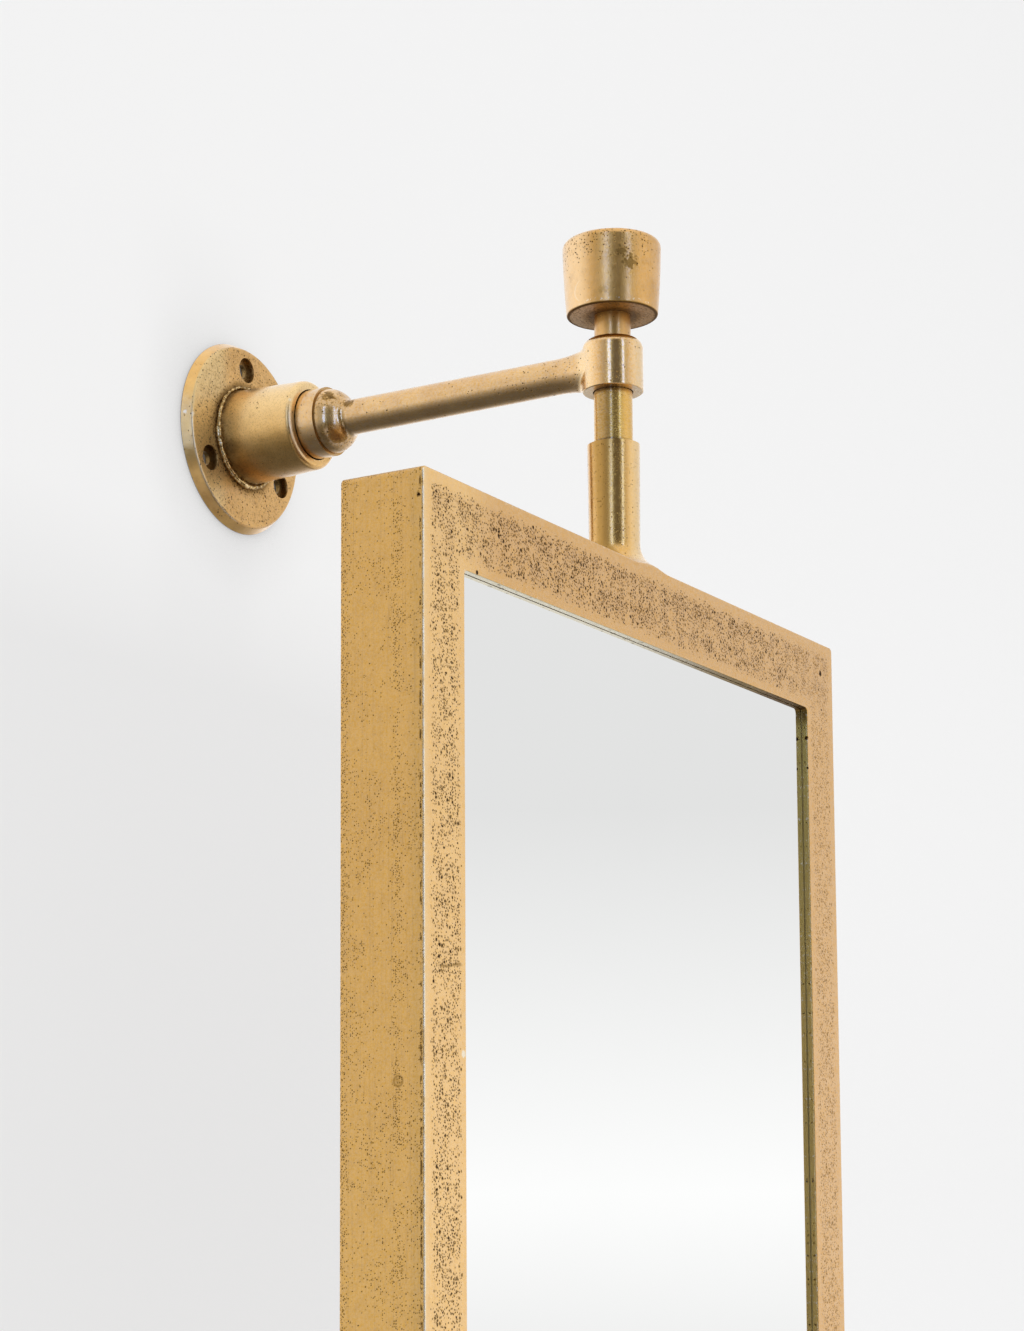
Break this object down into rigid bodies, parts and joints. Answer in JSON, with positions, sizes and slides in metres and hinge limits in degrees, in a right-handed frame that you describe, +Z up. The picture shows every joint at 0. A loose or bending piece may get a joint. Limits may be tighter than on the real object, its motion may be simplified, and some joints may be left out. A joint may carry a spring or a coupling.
{
  "type": "swivel wall mirror",
  "caption": "Rectangular wall mirror in a deep cast brass frame that hangs from a vertical pin and swivels under a cast bracket arm with a clamping knob on top.",
  "frame": {"origin": "centre of the wall flange's back face, on the arm's axis", "axes": "+Y points into the wall and the arm runs along -Y, +Z is up, +X is to the right of someone facing the mirror"},
  "size_m": [0.381, 0.227, 0.7612],
  "materials": {
    "cast_brass": "antique cast brass, sand-cast pits, lightly brushed and worn bright on the edges",
    "turned_brass": "turned brass, aged satin",
    "mirror_silver": "silvered float glass",
    "board": "raw hardboard",
    "nylon": "natural nylon",
    "zinc_steel": "zinc-plated steel",
    "pale_foam": "thin white foam tape",
    "black_rubber": "solid rubber pad"
  },
  "bodies": {
    "bracket": {"wall_flange": "cast_brass", "arm": "cast_brass", "arm_bolt": "zinc_steel", "arm_lock_washer": "zinc_steel", "arm_plain_washer": "zinc_steel", "arm_dowel": "zinc_steel", "upper_friction_washer": "nylon", "lower_friction_washer": "nylon"},
    "mirror": {"swivel_pin": "turned_brass", "pin_washer": "zinc_steel", "pin_nut": "zinc_steel", "sleeve_set_screw": "zinc_steel", "mirror_frame": "cast_brass", "glazing_tape": "pale_foam", "mirror_glass": "mirror_silver", "setting_blocks": "black_rubber", "backing_board": "board", "retaining_clips": "zinc_steel", "clip_screws": "zinc_steel"},
    "knob": {"knob": "cast_brass"}
  },
  "joints": [
    {"name": "mirror_swivel", "type": "hinge", "parent": "bracket", "child": "mirror", "pos_m": [0, -0.205, 0], "axis": [0, 0, 1], "continuous": true},
    {"name": "knob_turn", "type": "hinge", "parent": "mirror", "child": "knob", "pos_m": [0, -0.205, 0.0386], "axis": [0, 0, 1], "range_deg": [0, 540]}
  ]
}
